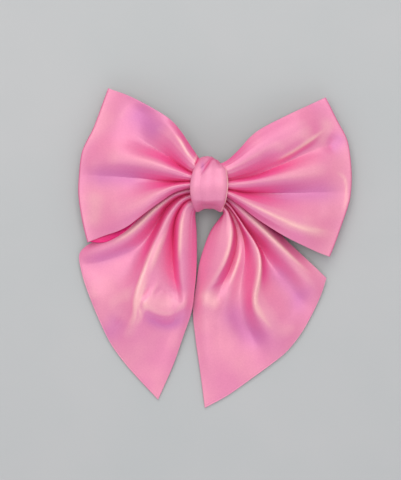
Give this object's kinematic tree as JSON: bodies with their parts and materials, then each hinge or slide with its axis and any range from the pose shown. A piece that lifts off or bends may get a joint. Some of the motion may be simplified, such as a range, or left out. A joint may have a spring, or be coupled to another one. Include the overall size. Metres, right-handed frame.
{
  "type": "hair bow",
  "caption": "Large fabric hair bow with puffed loops, pointed tails and a wrapped centre knot, glued to a sprung alligator clip that grips a lock of hair.",
  "frame": {"origin": "on the clip lever's flat outer face, straight behind the centre of the knot", "axes": "+X across the loops to the right as the bow's face is seen, +Y from the tails up to the loops, +Z out of the bow's face"},
  "size_m": [0.1516, 0.1784, 0.0301],
  "materials": {
    "pearl_fabric": "pearly pink satin-like knit with a cream and lilac sheen",
    "thread": "waxed pink sewing thread",
    "hot_glue": "cloudy set hot glue",
    "clip_steel": "nickel-plated stamped steel",
    "spring_steel": "bare spring wire",
    "ribbon": "ribbed pink lining ribbon",
    "grip_rubber": "soft clear-white ribbed rubber"
  },
  "bodies": {
    "bow": {"loop_left": "pearl_fabric", "loop_right": "pearl_fabric", "tail_left": "pearl_fabric", "tail_right": "pearl_fabric", "knot_wrap": "pearl_fabric", "loop_binding_thread": "thread", "tail_binding_thread": "thread", "glue_loops_to_tails": "hot_glue", "glue_bow_to_clip": "hot_glue", "glue_wrap_to_clip": "hot_glue", "clip_top_jaw": "clip_steel", "clip_pin": "clip_steel", "clip_spring": "spring_steel", "clip_ribbon": "ribbon", "clip_grip_pad": "grip_rubber"},
    "lever": {"clip_lever": "clip_steel"}
  },
  "joints": [
    {"name": "clip_jaw", "type": "hinge", "parent": "bow", "child": "lever", "pos_m": [0.017, 0, 0.0052], "axis": [0, -1, 0], "range_deg": [0, 25], "stiffness_Nm_per_rad": 0.08, "springref_deg": -45.84, "deforming": ["clip_spring"]}
  ]
}
